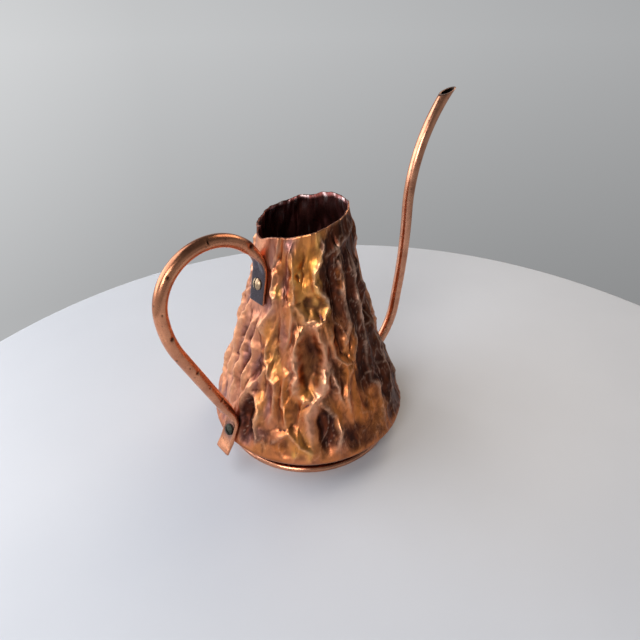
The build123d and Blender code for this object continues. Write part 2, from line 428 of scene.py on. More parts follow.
def handle_material():
    """The tube's copper, grey-violet on the hammered tabs, as a painted reflection on the upper one and scale
    round the lower screw, and dark nicks, a painted shadow line and painted shade over the top.
    """
    # the first mark is the grey-violet: a painted reflection on the upper tab and scale round the lower
    # screw; the second darkens the nicks and lays a painted shadow line and painted shade over the top
    marks = [("scale", (0.090, 0.076, 0.092)), ("nicks_and_shade", (0.035, 0.012, 0.008))]
    return tube_material("handle_copper", (0.71, 0.31, 0.17), (0.40, 0.145, 0.08), (1, 1, 10), marks)


def spout_material():
    """The tube's copper, painted black inside as shade in the bore, and brown on the cut."""
    # the bore's tone is painted shade inside the tube
    marks = [("cut", (0.22, 0.12, 0.09)), ("bore", (0.012, 0.008, 0.007))]
    return tube_material("spout_copper", (0.76, 0.36, 0.22), (0.40, 0.15, 0.09), (1, 1, 14), marks)


def screw_material(name, base, dark, roughness, cover, slot=None):
    """Brass with tarnish clouds; slot is a point in a screw's slot, painted dark as shade, and the direction
    across it.
    """
    s = Shader(name, roughness=roughness)
    cloud = s.noise(0.9, detail=4, rough=0.65)
    color = s.mix(base, dark, s.ramp(cloud, [(0.5 - cover / 2, 0.0), (0.9 - cover / 2, 1.0)]))
    if slot:
        point, across = slot
        middle = float(np.dot(point, across)) * MM
        beside = s.math("SUBTRACT", s.dot(s.coords.outputs["Object"], across), middle)
        far = s.math("DIVIDE", s.math("ABSOLUTE", beside), SLOT_HALF_WIDTH * MM)
        # painted shade: the slot is painted nearly black
        color = s.mix((0.012, 0.009, 0.007), color, s.ramp(far, [(0.96, 0.0), (1.0, 1.0)]))
    s.set("Base Color", color)
    s.set("Roughness", s.ramp(s.noise(0.4, detail=3), [(0.3, roughness - 0.08), (0.7, roughness + 0.12)]))
    s.bump((s.noise(0.35, detail=3), 0.05))
    return s.material


def solder_material():
    s = Shader("soft_solder", roughness=0.4)
    s.set("Base Color", s.mix((0.52, 0.51, 0.49), (0.20, 0.18, 0.17), s.noise(1.6, detail=4)))
    s.bump((s.noise(1.1, detail=3), 0.25))
    return s.material


def rubber_material():
    s = Shader("black_rubber", metallic=0.0, roughness=0.7)
    s.set("Base Color", s.mix((0.02, 0.02, 0.02), (0.05, 0.05, 0.05), s.noise(0.8)))
    s.bump((s.noise(0.3), 0.03))
    return s.material


def floor_material():
    s = Shader("pale_table", metallic=0.0, roughness=0.42)
    s.set("Base Color", s.mix((0.59, 0.63, 0.70), (0.63, 0.67, 0.74), s.noise(60.0, detail=2)))
    s.bump((s.noise(1.5, detail=2), 0.01))
    return s.material


def make_floor():
    """A round pale table top, larger than the can needs."""
    radius = 300.0
    thick = 18.0
    edge = 6.0
    edge_steps = 6
    turns = 128
    outline = [(0.0, 0.0), (radius - edge, 0.0)]
    for step in range(1, edge_steps + 1):
        turn = 90 * step / edge_steps
        outline.append((radius - edge + edge * sin(turn), -edge + edge * cos(turn)))
    outline += [(radius, -thick), (0.0, -thick)]
    points = []
    for r, z in outline:
        for k in range(turns):
            points.append((r * cos(360 * k / turns), r * sin(360 * k / turns), z))
    faces = []
    for row in range(len(outline) - 1):
        for k in range(turns):
            a = row * turns + k
            b = row * turns + (k + 1) % turns
            faces.append((a, a + turns, b + turns, b))
    floor = mesh_object("table_top", np.array(points) * MM, faces, floor_material())
    floor.location = seen_from_camera(0.03, -0.05, 0)


# ------ the crumpled body

# Crests of the folds that can be told apart, each from one end to the other as (angle, height).
CRESTS = {
    "centre": [(247, 128), (251, 121), (247, 115), (241, 109), (240, 104), (245, 100), (252, 96), (253, 91),
        (247, 87), (241, 83), (242, 76), (245, 70), (247, 62), (245, 56), (241, 51), (235, 48), (232, 43),
        (230, 38), (232, 30), (231, 22)],
    "dimple_edge": [(216, 95), (221, 92), (227, 88), (232, 85), (240, 86), (247, 87)],
    "left_long": [(198, 125), (202, 119), (200, 114), (195, 110), (198, 104), (199, 99), (203, 96),
        (199, 91), (191, 86), (189, 80), (193, 76), (197, 71), (197, 63), (200, 58), (206, 54), (208, 49),
        (207, 42), (206, 34)],
    "between": [(217, 118), (218, 113), (218, 105), (219, 101), (220, 98), (217, 94), (219, 87), (217, 80),
        (213, 73)],
    "lens_left": [(230, 84), (224, 79), (221, 73), (220, 67), (223, 61), (220, 55), (222, 49), (228, 46),
        (235, 48)],
    "diagonal": [(198, 60), (192, 53), (186, 46), (182, 38), (180, 31)],
    "low_left": [(186, 46), (194, 43), (199, 39), (198, 33), (199, 28), (199, 21)],
    "left_a": [(189, 84), (184, 77), (182, 70), (184, 63), (181, 56), (181, 49), (179, 42)],
    "left_b": [(177, 82), (174, 75), (171, 68), (171, 60), (169, 52), (171, 45), (168, 36)],
    "left_edge": [(151, 92), (143, 84), (142, 75), (142, 66), (145, 56), (144, 46), (147, 37), (153, 28)],
    "left_neck": [(160, 112), (163, 98), (158, 88)],
    "left_back": [(164, 86), (161, 78), (157, 69), (159, 60), (156, 51), (158, 42), (161, 34)],
    "low_lens": [(240, 47), (244, 43), (247, 37), (249, 31), (248, 25), (245, 20)],
    "hem": [(210, 24), (214, 28), (218, 30), (222, 27), (227, 23), (232, 20)],
    "low_mid": [(214, 58), (213, 48), (216, 40), (215, 33)],
    "shoulder": [(304, 126), (288, 122), (272, 120), (256, 117)],
    "right_a": [(270, 112), (273, 105), (269, 99), (270, 91), (269, 83), (267, 76), (264, 69)],
    "right_b": [(249, 82), (250, 75), (254, 67), (261, 62), (268, 62)],
    "right_c": [(275, 79), (274, 71), (269, 64), (265, 59), (260, 53), (258, 45), (259, 36)],
    "right_d": [(284, 53), (281, 46), (286, 40), (283, 32), (280, 24)],
    "right_e": [(288, 112), (290, 100), (286, 90), (289, 80), (286, 68), (284, 53)],
    "far_right": [(304, 105), (303, 96), (312, 87), (309, 79), (303, 72), (307, 64), (305, 55), (303, 47),
        (301, 38), (300, 28)],
    "far_fork": [(307, 64), (314, 54), (318, 42), (315, 30)],
    "short": [(248, 62), (250, 56), (251, 50), (256, 41)],
    "oval": [(268, 120), (270, 117), (269, 114)],
    "plate": [(184, 125), (197, 123), (201, 118), (197, 113), (191, 110)],
}

# How far to each side a crest is worn bright: CREST_WEAR, and SPECIAL_WEAR for those listed there.
CREST_WEAR = 0.70
SPECIAL_WEAR = {
    "centre": 1.0, "lens_left": 1.35, "dimple_edge": 0.9, "left_long": 0.85, "low_lens": 0.9,
    "far_right": 0.45, "far_fork": 0.40, "right_e": 0.55, "right_d": 0.6,
}

# Height of a crest, how far it reaches on its steep and its gentle side and how far away the sheet is low,
# and the share of a valley's depth that is pressed in.
CREST_HEIGHT = 2.5
STEEP_REACH = 1.3
GENTLE_REACH = 3.0
BETWEEN_REACH = 5.0
VALLEY_SHARE = 0.8

# The smooth lobe under the rim: angle, height, half width, reach down and reach up.
LOBE = (178.5, 119.0, 10.0, 12.0, 30.0)

# Ovals of smooth sheet, with few generated folds: angle, height, half width, half height.
DIMPLE = (238, 92, 7.0, 6.0)
GOLDEN_NECK = (235, 111, 6.0, 12.0)
LONG_HOLLOW = (234, 65, 7.0, 17.0)

# Sectors of the wall: middle angle, degrees to each side that count fully, and degrees where it ends.
PHOTO_SIDE = (225, 96, 120)
LEFT_FOLDS = (155, 28, 50)
LEFT_SATIN = (155, 28, 52)
LEFT_COLORS = (150, 38, 58)
LEFT_OUTLINE = (138, 12, 34)
RIGHT_OUTLINE = (318, 10, 30)
BLOOM_SIDE = (50, 60, 120)

# Valleys pressed in between the crests: angle, height, half width, half height, lean, depth.
VALLEYS = [
    (233, 66, 6.6, 17, 4, 2.3),
    (238, 92, 7.5, 8, 0, 1.7),
    (236, 112, 5.5, 12, 0, 1.3),
    (242, 33, 6, 13, -6, 2.4),
    (190, 34, 6.5, 13, 8, 2.6),
    (203, 70, 4, 11, 0, 1.6),
    (209, 107, 3.5, 12, 0, 1),
    (165, 62, 2.6, 20, 0, 1.5),
    (177, 60, 2.6, 16, 0, 1.5),
    (150, 60, 2.6, 20, 0, 1.5),
    (190, 54, 3, 9, 0, 1.2),
    (261, 100, 4.5, 13, 0, 1.6),
    (258, 74, 3.5, 10, 0, 1.8),
    (280, 62, 5, 16, 0, 1.8),
    (272, 44, 4.5, 12, 0, 1.6),
    (280, 98, 5, 16, 0, 1.4),
    (298, 84, 4, 18, 0, 1.8),
    (293, 44, 4.5, 14, 0, 1.8),
    (222, 38, 4, 8, 0, 1),
    (223, 107, 1.1, 1.7, 0, 1.6),
    (211, 105, 1.8, 12, 0, 1),
]

# Tones of the copper and its inside.
COPPER = (0.64, 0.225, 0.095)
GOLD = (0.80, 0.315, 0.065)
YELLOW = (0.90, 0.46, 0.12)
ORANGE = (0.68, 0.21, 0.045)
PINK = (0.74, 0.34, 0.21)
TAN = (0.78, 0.36, 0.19)
ROSE = (0.50, 0.23, 0.18)
VIOLET = (0.25, 0.14, 0.17)
UMBER = (0.24, 0.08, 0.035)
BRONZE = (0.40, 0.19, 0.065)
INSIDE = (0.30, 0.10, 0.10)
BLOOM = (0.55, 0.44, 0.44)

# Heat colours, with painted reflection and shade in the entries marked so: angle, height, reach round, reach
# up, tone, strength.
HEAT = [
    # painted reflection: broad pink over the left side, for the bright wall it reflects
    (160, 70, 18, 60, PINK, 0.9),
    (180, 65, 10, 40, ROSE, 0.35),
    (236, 112, 8, 16, GOLD, 0.95),
    (225, 106, 4, 12, GOLD, 0.8),
    (238, 92, 8, 8, YELLOW, 0.9),
    (240, 91, 2.6, 3.5, BRONZE, 0.9),
    (228, 64, 12, 24, ORANGE, 0.6),
    (237, 54, 2.5, 8, GOLD, 0.5),
    (232, 72, 4, 12, UMBER, 0.60),
    (237, 58, 3, 7, UMBER, 0.5),
    (236, 60, 5, 12, BRONZE, 0.75),
    (230, 51, 2.5, 3, GOLD, 0.7),
    (198, 74, 5, 18, GOLD, 0.8),
    (207, 66, 3, 8, YELLOW, 0.7),
    (197, 40, 4, 10, GOLD, 0.8),
    (216, 48, 9, 12, ORANGE, 0.7),
    (227, 25, 6, 7, GOLD, 0.9),
    (222, 20, 1.6, 2.5, YELLOW, 0.9),
    (230, 21, 1.6, 2.5, YELLOW, 0.9),
    (214, 22, 5, 3, ORANGE, 0.8),
    (267, 103, 4, 8, ORANGE, 0.9),
    (273, 74, 4, 9, ORANGE, 0.9),
    (266, 54, 8, 14, ORANGE, 0.9),
    (270, 36, 12, 12, ORANGE, 0.9),
    (250, 36, 4, 10, ORANGE, 0.8),
    (190, 31, 5, 12, VIOLET, 0.8),
    (200, 26, 5, 4, VIOLET, 0.6),
    (204, 44, 3.2, 9, VIOLET, 0.65),
    (210, 78, 2.6, 9, VIOLET, 0.5),
    (242, 33, 5.0, 12, UMBER, 0.9),
    (245, 30, 2.0, 5, BRONZE, 0.7),
    (215, 123, 3, 5, VIOLET, 0.8),
    (186, 118, 9, 8, PINK, 0.9),
    # painted shade inside the right edge of the lobe under the rim
    (194, 116, 2.4, 8, VIOLET, 0.6),
    (270, 118, 2.4, 4, GOLD, 0.8),
    # painted shade beside the upper tab, on its right
    (194, 92, 4, 6, VIOLET, 0.7),
    # this entry and the next three: violet patina with painted shade in the left side's valleys
    (165, 58, 2.4, 18, VIOLET, 0.6),
    (177, 60, 2.4, 14, VIOLET, 0.6),
    (150, 60, 2.4, 18, VIOLET, 0.5),
    (190, 55, 2.4, 9, VIOLET, 0.5),
    (211, 106, 2.0, 11, VIOLET, 0.75),
    (206, 115, 2.4, 9, ORANGE, 0.8),
    (206, 99, 1.8, 4, YELLOW, 0.9),
    (223, 107, 2.0, 3.6, YELLOW, 0.9),
    (219, 80, 2.6, 8, PINK, 0.8),
    (221, 62, 2.6, 12, PINK, 0.8),
    (246, 64, 2.8, 14, PINK, 0.8),
    (243, 57, 2.2, 7, PINK, 0.9),
    (239, 50, 2.4, 6, PINK, 0.9),
    (234, 44, 2.4, 5, PINK, 0.9),
    (231, 35, 2.4, 9, PINK, 0.8),
    (236, 84, 3.0, 3, PINK, 0.6),
    (249, 123, 1.8, 5, YELLOW, 0.95),
    (248, 116, 1.8, 4, YELLOW, 0.95),
    (242, 108, 1.8, 5, YELLOW, 0.95),
    (243, 101, 1.8, 4, YELLOW, 0.95),
    (250, 95, 2.0, 3, YELLOW, 0.95),
    (251, 90, 2.0, 3, YELLOW, 0.9),
]

# Dark patina, with painted shade and shadow in the entries marked so: angle, height, reach round, reach up,
# strength.
PATINA_AND_SHADE = [
    # entries at 280 degrees and more, here and below: dark patina with painted shade of the right side
    (282, 123, 9, 8, 1),
    # painted shadow beside the top of the centre crest
    (260, 118, 3, 8, 1),
    (300, 118, 10, 14, 1),
    (286, 112, 9, 14, 1),
    (290, 96, 8, 14, 1),
    (282, 84, 6, 10, 1),
    (284, 67, 8, 12, 1),
    (280, 52, 6, 10, 1),
    (256, 104, 5, 14, 0.8),
    # this entry and the next three: a painted shadow along the right of the centre crest
    (259, 121, 2.4, 6, 1),
    (256, 113, 2.4, 6, 1),
    (253, 105, 2.4, 6, 1),
    (260, 95, 2.4, 6, 1),
    (262, 86, 6, 14, 0.6),
    (264, 22, 14, 8, 0.40),
    (284, 22, 12, 7, 0.30),
    (206, 25, 7, 4, 0.55),
    # dark patina with painted shade over the right side
    (300, 66, 10, 50, 0.9),
    (310, 40, 16, 30, 0.9),
    (252, 58, 4, 12, 0.6),
    (252, 27, 9, 5, 0.5),
    (242, 34, 4.5, 12, 0.7),
    (189, 31, 5, 12, 0.9),
    (232, 74, 3, 7, 0.3),
]


def wall_radius(z):
    """Outer radius of the smooth body, from the foot to above the rim."""
    z = np.asarray(z, float)
    centre_r = BELLY_R - BELLY_BEND
    start_r = centre_r + BELLY_BEND * cos(FLARE_LEAN)
    start_z = BELLY_Z + BELLY_BEND * sin(FLARE_LEAN)
    flare_r = start_r + FLARE_R * cos(FLARE_LEAN)
    flare_z = start_z + FLARE_R * sin(FLARE_LEAN)
    flare = flare_r - np.sqrt(FLARE_R**2 - (flare_z - z) ** 2)
    belly = centre_r + np.sqrt(np.clip(BELLY_BEND**2 - (z - BELLY_Z) ** 2, 0, None))
    tuck_z = BELLY_Z - BELLY_BEND * sin(TUCK_ANGLE)
    tuck = centre_r + BELLY_BEND * cos(TUCK_ANGLE) - (tuck_z - z) * np.tan(np.radians(TUCK_ANGLE))
    return np.where(z > start_z, flare, np.where(z > tuck_z, belly, tuck))


def wall_normal(z):
    """Outward normal of the smooth body as (radial, up)."""
    step = 0.05
    slope = (wall_radius(z + step) - wall_radius(z - step)) / (2 * step)
    length = np.hypot(1, slope)
    return 1 / length, -slope / length


def rim_height(theta):
    """The slanting rim, cut ragged in long uneven waves and short ones."""
    ring = np.stack([cos(theta), sin(theta), np.zeros_like(theta)], 1)
    waves = 0.45 * grain(ring, 0.42, 3.1) + 0.18 * grain(ring, 0.16, 8.4)
    waves *= 0.6 + 0.9 * (1 - sector(theta, *PHOTO_SIDE))
    # a notch over the handle, and pointed corners at both ends of the side in the photo
    notch = 1.5 * np.exp(-((angle_from(theta, 176) / 9) ** 2))
    left_corner = 1.2 * np.clip(1 - np.abs(angle_from(theta, 153)) / 9, 0, 1)
    right_corner = 1.8 * np.clip(1 - np.abs(angle_from(theta, 318)) / 14, 0, 1)
    return RIM_Z + RIM_RISE * cos(theta - RIM_HIGH_SIDE) + waves - notch + left_corner + right_corner


def lit_rim(theta):
    """Painted light on the rim's edge: 1 along the front, where the edge is painted bright as a highlight,
    and 0 where it is painted dark as shade.
    """
    return smooth(205, 230, theta) * (1 - smooth(295, 325, theta))


def hidden_crests():
    """A net of folds for the rest of the body: neighbours swing opposite ways and nearly meet."""
    lines = {}
    first = 326.0
    last = 494.0
    count = 11
    for i in range(count):
        base = first + (last - first) * i / (count - 1)
        period = rng.uniform(40, 50)
        lead = 180 * (i % 2) + rng.uniform(-30, 30)
        swing = rng.uniform(4.5, 7.5)
        top = rng.uniform(118, 127)
        low = rng.uniform(20, 28)
        points = []
        for z in np.arange(top, low, -6.0):
            theta = base + swing * sin(360 * z / period + lead) + rng.normal(0, 1.3)
            points.append((theta, z))
        lines[f"hidden_{i}"] = points
    return lines


def nearest_crest(theta, z, radius, lines):
    """Distance to the nearest crest, its strength from 0 to 1, its side, -1 or 1, and how wide it is worn."""
    best = np.full(theta.shape, 1e3)
    fade = np.zeros(theta.shape)
    side = np.ones(theta.shape)
    wear = np.ones(theta.shape)
    for number, (name, line) in enumerate(lines.items()):
        wide = SPECIAL_WEAR.get(name, CREST_WEAR)
        # a crest is lower at its first point and fades out at its last
        strength = np.ones(len(line))
        strength[0] = 0.6
        strength[-1] = 0.3
        steep_side = 1 if number % 3 else -1
        for k in range(len(line) - 1):
            (t0, z0), (t1, z1) = line[k], line[k + 1]
            ax = round_wall(theta, t0, radius)
            az = z - z0
            sx = np.radians(t1 - t0) * radius
            sz = z1 - z0
            along = np.clip((ax * sx + az * sz) / (sx * sx + sz * sz), 0, 1)
            distance = np.hypot(ax - along * sx, az - along * sz)
            nearer = distance < best
            best[nearer] = distance[nearer]
            fade[nearer] = (strength[k] + (strength[k + 1] - strength[k]) * along)[nearer]
            side[nearer] = (np.sign(ax * sz - az * sx) * steep_side)[nearer]
            wear[nearer] = wide
    return best, fade, side, wear


def pressed_flat(theta, z, radius):
    """1 where something is fastened to the wall, so that it isn't crumpled there, else 0."""
    beside = 1 - smooth(5.2, 9.0, np.abs(round_wall(theta, 180, radius)))
    upper = beside * smooth(84, 90, z) * (1 - smooth(107, 112, z))
    lower = beside * (1 - smooth(26, 32, z))
    spout = np.hypot(round_wall(theta, 0, radius), z - 17)
    return np.clip(upper + lower + (1 - smooth(8, 14, spout)), 0, 1)


def fine_folds(theta, z, radius, at):
    """Generated folds and creases between the crests, from 0 to 1, faint on the smooth ovals."""

    def from_oval(centre, level, half_wide, half_high):
        return np.hypot(round_wall(theta, centre, radius) / half_wide, (z - level) / half_high)

    folds = (1 - np.abs(grain(at, (6.0, 6.0, 19.0), 4.4))) ** 3
    creases = (1 - np.abs(grain(at, (3.0, 3.0, 8.0), 9.3))) ** 5
    left_over = smooth(0.8, 1.2, from_oval(*DIMPLE))
    left_over *= 0.35 + 0.65 * smooth(0.7, 1.3, from_oval(*GOLDEN_NECK))
    left_over *= 0.40 + 0.60 * smooth(0.7, 1.2, from_oval(*LONG_HOLLOW))
    return folds * left_over, creases * left_over


def lay_lobe(theta, z, radius, at, height):
    """Lays the smooth lobe over the folds: the new height, and 1 on the lobe, else 0."""
    centre, level, half_wide, reach_down, reach_up = LOBE
    x = round_wall(theta, centre, radius) / half_wide
    y = (z - level) / np.where(z > level, reach_up, reach_down)
    lobe = np.hypot(x, y) + 0.05 * grain(at, 6.0, 31.0)
    on_lobe = 1 - smooth(0.86, 1.0, lobe)
    height = height * (1 - on_lobe) + on_lobe * (1.2 - 0.9 * lobe**2)
    groove = 1.2 * np.exp(-(((lobe - 1.07) / 0.09) ** 2))
    return height - groove, on_lobe


def crumple(theta, z):
    """Height of the crumpled sheet over the smooth body, the crests' mask with a painted highlight on the
    rim's front edge, and places for noise.
    """
    radius = wall_radius(z)
    even = 20 + 0.5 * radius
    at = np.stack([even * cos(theta), even * sin(theta), z], 1)
    warp = grain(at, 7.0, 1.3) + 0.45 * grain(at, 2.6, 2.7)
    warp_up = 1.2 * grain(at, 8.0, 5.2)
    lines = {**CRESTS, **hidden_crests()}
    distance, fade, side, wear = nearest_crest(theta + np.degrees(warp / radius), z + warp_up, radius, lines)
    vary = np.clip(0.85 + 0.45 * grain(at, 9.0, 6.6), 0.3, 1.3)
    # 0 on the crest, and blunt within a third of a millimetre of it
    away = np.sqrt(distance**2 + 0.10) - 0.316
    height = CREST_HEIGHT * fade * vary * np.exp(-away / np.where(side > 0, STEEP_REACH, GENTLE_REACH))
    height -= 1 - np.exp(-((distance / BETWEEN_REACH) ** 2))
    for centre, level, half_wide, half_high, lean, depth in VALLEYS:
        across = round_wall(theta, centre, radius) + warp
        up = z - level + warp_up
        x = across * cos(lean) + up * sin(lean)
        y = up * cos(lean) - across * sin(lean)
        height -= VALLEY_SHARE * depth * (1 - smooth(0.45, 1.1, np.hypot(x / half_wide, y / half_high)))
    folds, creases = fine_folds(theta, z, radius, at)
    height += 0.80 * folds + 0.16 * creases - 0.45 + 0.65 * grain(at, (8.0, 8.0, 17.0), 7.7)
    height *= 1 + 0.10 * sector(theta, *LEFT_FOLDS) * (1 - smooth(95, 105, z))
    height, on_lobe = lay_lobe(theta, z, radius, at, height)
    height -= 2.2 * sector(theta, *LEFT_OUTLINE) * smooth(74, 98, z)
    height += 0.9 * sector(theta, *RIGHT_OUTLINE) * smooth(110, 124, z)
    below_rim = rim_height(theta) - z
    flat = pressed_flat(theta, z, radius)
    # the belly's roll is smooth and drawn in a little under it, and the folds are lower beside the rim
    crumpled = smooth(12.0, 20.0, z)
    height *= crumpled * (1 - flat) * (0.5 + 0.5 * smooth(0.0, 9.0, below_rim))
    height -= 0.12 * flat + 1.4 * smooth(FOOT_TOP, 6.5, z) * (1 - smooth(10.5, 15.5, z))
    crest = np.exp(-((distance / wear) ** 2)) * fade * np.clip(vary, 0, 1.1) * (1 - on_lobe)
    crest = np.clip(crest + 0.5 * smooth(0.84, 0.98, folds) + 0.3 * smooth(0.80, 0.96, creases), 0, 1)
    # a painted highlight along the rim's edge, strongest on the front
    edge = (0.05 + 0.50 * lit_rim(theta)) * np.exp(-below_rim / 0.40)
    return height, np.maximum(crest * crumpled * (1 - 0.7 * flat), edge), at


def cavities(height, rows):
    """From 0 to 1, how far each point lies below the mean of its surroundings."""
    grid = height.reshape(rows, COLUMNS)
    mean = grid.copy()
    for _ in range(CAVITY_PASSES):
        mean = (np.roll(mean, 1, 1) + 2 * mean + np.roll(mean, -1, 1)) / 4
        padded = np.vstack([mean[:1], mean, mean[-1:]])
        mean = (padded[:-2] + 2 * mean + padded[2:]) / 4
    return smooth(0.05, 0.75, mean - grid).ravel()


def heat_colors(theta, z, height, at):
    """Base colour of the copper at each point, with painted reflection, highlight and shade laid in, and how
    much patina lies on it, with painted shade at the tuck and the rim's edge.
    """
    radius = wall_radius(z)
    stray = grain(at, 5.0, 21.5)
    stray_up = grain(at, 6.0, 25.5)
    color = np.tile(COPPER, (len(theta), 1))

    def patch(centre, level, reach_round, reach_up):
        x = (round_wall(theta, centre, radius) + 1.2 * stray) / reach_round
        y = (z - level + 1.5 * stray_up) / reach_up
        return np.exp(-((x * x + y * y) ** 1.5))

    def lay(tone, cover):
        color[:] += (tone - color) * cover[:, None]

    drift = grain(at, (9.0, 9.0, 16.0), 12.5)
    lay(ROSE, 0.35 * smooth(0.1, 0.9, drift))
    lay(GOLD, 0.35 * smooth(0.1, 0.9, -drift))
    for centre, level, reach_round, reach_up, tone, strength in HEAT:
        lay(tone, strength * patch(centre, level, reach_round, reach_up))
    # painted light on the left side: tan on its ridges as painted highlight, violet in its hollows as painted
    # shade
    on_left = sector(theta, *LEFT_COLORS)
    lay(VIOLET, 0.70 * on_left * smooth(0.0, 1.3, -height - 0.2))
    lay(TAN, 0.75 * on_left * smooth(0.2, 1.6, height))
    valley = smooth(0.4, 2.6, -height)
    lay(UMBER, 0.45 * valley * smooth(16, 22, z))
    # the belly's roll: orange and umber in level streaks, apart from a golden stretch at 228 degrees
    streaks = np.clip(0.5 + 0.5 * grain(at, (6.3, 6.3, 0.7), 41.0), 0, 1)
    band = (1 - smooth(14.0, 21.0, z)) * (1 - sector(theta, 228, 5, 16))
    lay(ORANGE, 0.45 * band)
    lay(UMBER, 0.60 * band * streaks)
    # painted shade with patina in the tuck under the belly, over the foot ring
    under = 1 - smooth(6.0, 10.0, z)
    lay(UMBER, 0.80 * under)
    # painted shade on the rim's edge away from the front, also counted as patina below
    shaded_rim = (1 - lit_rim(theta)) * np.exp(-(rim_height(theta) - z) / 0.35)
    lay(UMBER, 0.75 * shaded_rim)
    patina_and_shade = 0.10 + 0.30 * valley
    for centre, level, reach_round, reach_up, strength in PATINA_AND_SHADE:
        patina_and_shade += strength * patch(centre, level, reach_round, reach_up)
    behind = 1 - sector(theta, *PHOTO_SIDE)
    patina_and_shade += 0.55 * behind * smooth(-0.2, 0.8, grain(at, (8.0, 8.0, 22.0), 15.5))
    patina_and_shade = np.clip(patina_and_shade, 0, 1) * (0.50 + 0.50 * smooth(14, 20, z))
    # the patina mask also takes the painted shade of the tuck and the rim's edge
    return color, np.maximum(patina_and_shade, np.maximum(0.85 * under, 0.9 * shaded_rim))


def inside_bloom(theta, z, at):
    """From 0 to 1, the pale bloom in broken patches under the rim inside, with a few specks lower down."""
    below = rim_height(theta) - z
    patches = smooth(0.05, 0.55, grain(at, (4.0, 4.0, 3.0), 51.0)) * (1 - smooth(2.0, 9.0, below))
    specks = smooth(0.85, 1.1, grain(at, 2.4, 57.0)) * (1 - smooth(20.0, 40.0, below))
    return np.clip(patches * sector(theta, *BLOOM_SIDE) + specks, 0, 1)


def shell_faces(rows, inner_rows):
    """Quads of an outer skin, an inner skin after it, and the strips that join them at both ends."""
    here = np.arange(COLUMNS)
    beside = (here + 1) % COLUMNS

    def strip(lower, upper, flip=False):
        quads = np.stack([lower + here, lower + beside, upper + beside, upper + here], 1)
        return quads[:, ::-1] if flip else quads

    inner = rows * COLUMNS
    last = inner + (inner_rows - 1) * COLUMNS
    faces = [strip(at, at + COLUMNS) for at in range(0, inner - COLUMNS, COLUMNS)]
    faces += [strip(at, at + COLUMNS, flip=True) for at in range(inner, last, COLUMNS)]
    faces += [strip(inner - COLUMNS, last), strip(0, inner, flip=True)]
    return np.vstack(faces).tolist()


def make_body():
    """The crumpled copper sheet: an outer skin, an inner skin one sheet inside it, closed at both ends."""
    ring = np.arange(COLUMNS) * 360.0 / COLUMNS
    low = np.linspace(FOOT_TOP, ROWS_MEET, LOW_ROWS, endpoint=False)
    share = np.linspace(0, 1, HIGH_ROWS)[:, None]
    high = ROWS_MEET + (rim_height(ring)[None, :] - ROWS_MEET) * share
    rows = LOW_ROWS + HIGH_ROWS
    theta = np.tile(ring, rows)
    z = np.vstack([np.repeat(low[:, None], COLUMNS, 1), high]).ravel()
    height, crest, at = crumple(theta, z)
    color, patina_and_shade = heat_colors(theta, z, height, at)
    radial, up = wall_normal(z)

    def skin(offset):
        r = wall_radius(z) + (height + offset) * radial
        return np.stack([r * cos(theta), r * sin(theta), z + (height + offset) * up], 1)

    inner_rows = [*range(0, rows - 1, INNER_STEP), rows - 1]
    pick = (np.array(inner_rows)[:, None] * COLUMNS + np.arange(COLUMNS)).ravel()
    points = np.vstack([skin(0.0), skin(-SHEET)[pick]]) * MM
    body = mesh_object("crumpled_body", points, shell_faces(rows, len(inner_rows)), body_material())
    none = np.zeros(len(pick))
    satin = sector(theta, *LEFT_SATIN) * (1 - smooth(88, 100, z))
    bloom = inside_bloom(theta[pick], z[pick], at[pick])
    inside = np.array(INSIDE) + (np.array(BLOOM) - np.array(INSIDE)) * bloom[:, None]
    for name, mask in (("crest", crest), ("cavity", cavities(height, rows)), ("satin", satin)):
        put_attribute(body, name, np.concatenate([mask, none]))
    put_attribute(body, "patina_and_shade", np.concatenate([patina_and_shade, 0.50 * (1 - bloom)]))
    put_color(body, "tint", np.vstack([color, inside]))
    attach(body, "root")
    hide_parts("body_shell")


# ------ the handle


class Route:
    """A flat path of lines and arcs in the XZ plane, sampled as it grows."""

    def __init__(self, start, direction, step):
        self.points = [np.array(start, float)]
        self.directions = [np.array(direction, float)]
        self.step = step

    def line(self, length):
        count = max(1, int(length / self.step))
        start = self.points[-1]
        direction = self.directions[-1]
        for k in range(1, count + 1):
            self.points.append(start + direction * length * k / count)
            self.directions.append(direction)

    def arc(self, radius, turn):
        """Turns left for a positive angle in degrees, right for a negative one."""
        side = 1 if turn > 0 else -1
        start = self.points[-1]
        heading = self.directions[-1]
        left = np.array((-heading[1], heading[0])) * side
        centre = start + left * radius
        count = max(3, int(radius * math.radians(abs(turn)) / self.step))
        for k in range(1, count + 1):
            angle = abs(turn) * k / count
            self.points.append(centre - left * radius * cos(angle) + heading * radius * sin(angle))
            self.directions.append(heading * cos(angle) + left * sin(angle))


def seat(height):
    """Origin, up-the-wall and outward directions of the wall on the handle's side, in XZ."""
    radius = float(wall_radius(height))
    radial, up = (float(v) for v in wall_normal(height))
    return np.array((-radius, height)), np.array((up, radial)), np.array((-radial, up))


